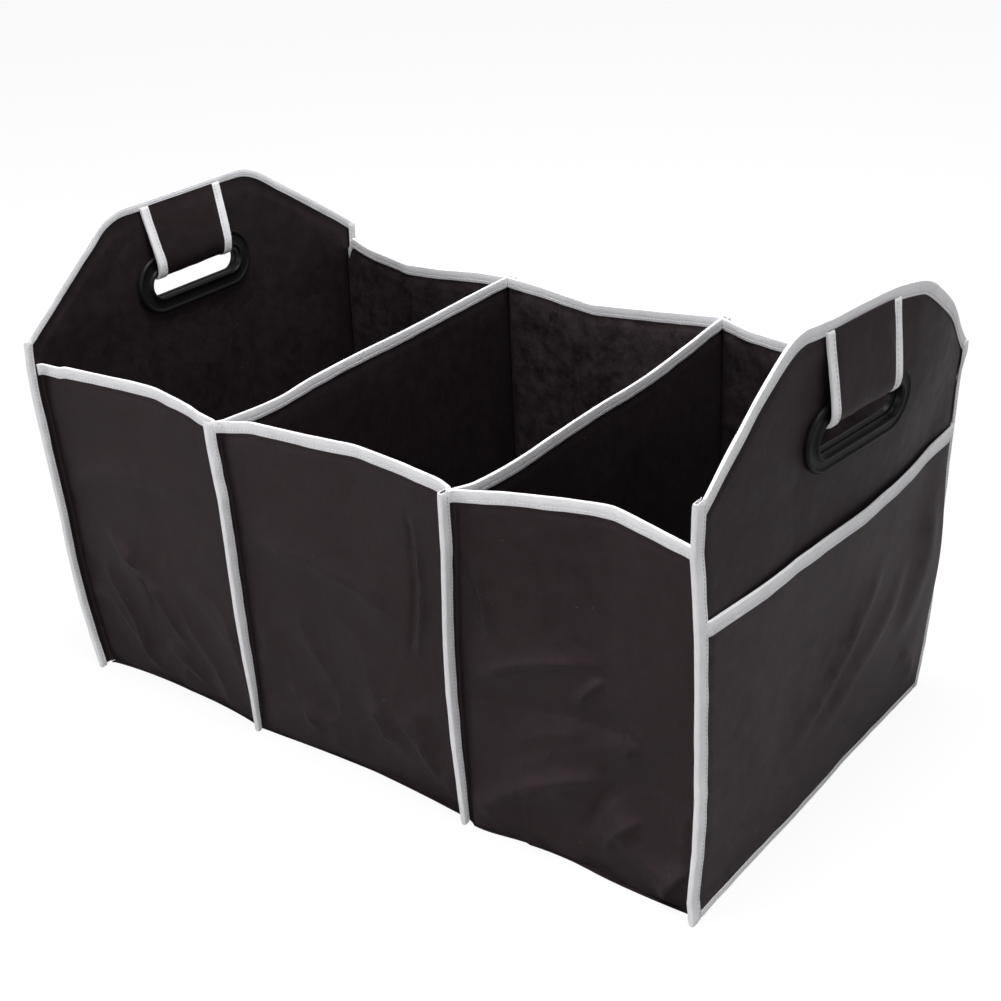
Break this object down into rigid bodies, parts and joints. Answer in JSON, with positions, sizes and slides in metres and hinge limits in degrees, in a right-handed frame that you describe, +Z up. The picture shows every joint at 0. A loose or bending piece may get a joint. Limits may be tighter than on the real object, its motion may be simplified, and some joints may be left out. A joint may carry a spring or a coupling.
{
  "type": "car boot organizer",
  "caption": "Open-topped folding cloth organizer for a car boot, with divided compartments, tape-bound seams, outer end pockets and a plastic hand grip in each domed end panel.",
  "frame": {"origin": "on the ground under the centre of the organizer", "axes": "+X runs along the length from the left end panel to the right one, +Y from the front wall to the back wall, +Z up"},
  "size_m": [0.5961, 0.3382, 0.346],
  "materials": {
    "black_cloth": "matt black cloth over card boards, fine weave",
    "light_tape": "woven edge binding, off-white, stitched",
    "black_plastic": "smooth moulded black plastic"
  },
  "bodies": {
    "root": {"back_wall_1": "black_cloth", "back_wall_2": "black_cloth", "back_wall_3": "black_cloth", "base_board_1": "black_cloth", "base_board_2": "black_cloth", "base_board_3": "black_cloth", "corner_tape_back_left": "light_tape", "corner_tape_back_right": "light_tape", "corner_tape_front_left": "light_tape", "corner_tape_front_right": "light_tape", "divider_left": "black_cloth", "divider_right": "black_cloth", "divider_tape_back_left": "light_tape", "divider_tape_back_right": "light_tape", "divider_tape_front_left": "light_tape", "divider_tape_front_right": "light_tape", "dome_tape_left": "light_tape", "dome_tape_right": "light_tape", "end_panel_left": "black_cloth", "end_panel_right": "black_cloth", "end_pocket_left": "black_cloth", "end_pocket_right": "black_cloth", "floor_cloth": "black_cloth", "front_wall_1": "black_cloth", "front_wall_2": "black_cloth", "front_wall_3": "black_cloth", "grip_inner_left": "black_plastic", "grip_inner_right": "black_plastic", "grip_outer_left": "black_plastic", "grip_outer_right": "black_plastic", "grip_wrap_left": "black_cloth", "grip_wrap_right": "black_cloth", "hem_tape_left": "light_tape", "hem_tape_right": "light_tape", "pocket_tape_left": "light_tape", "pocket_tape_right": "light_tape", "top_tape_back_1": "light_tape", "top_tape_back_2": "light_tape", "top_tape_back_3": "light_tape", "top_tape_divider_left": "light_tape", "top_tape_divider_right": "light_tape", "top_tape_front_1": "light_tape", "top_tape_front_2": "light_tape", "top_tape_front_3": "light_tape", "wrap_tape_left_a": "light_tape", "wrap_tape_left_b": "light_tape", "wrap_tape_right_a": "light_tape", "wrap_tape_right_b": "light_tape"}
  },
  "joints": []
}
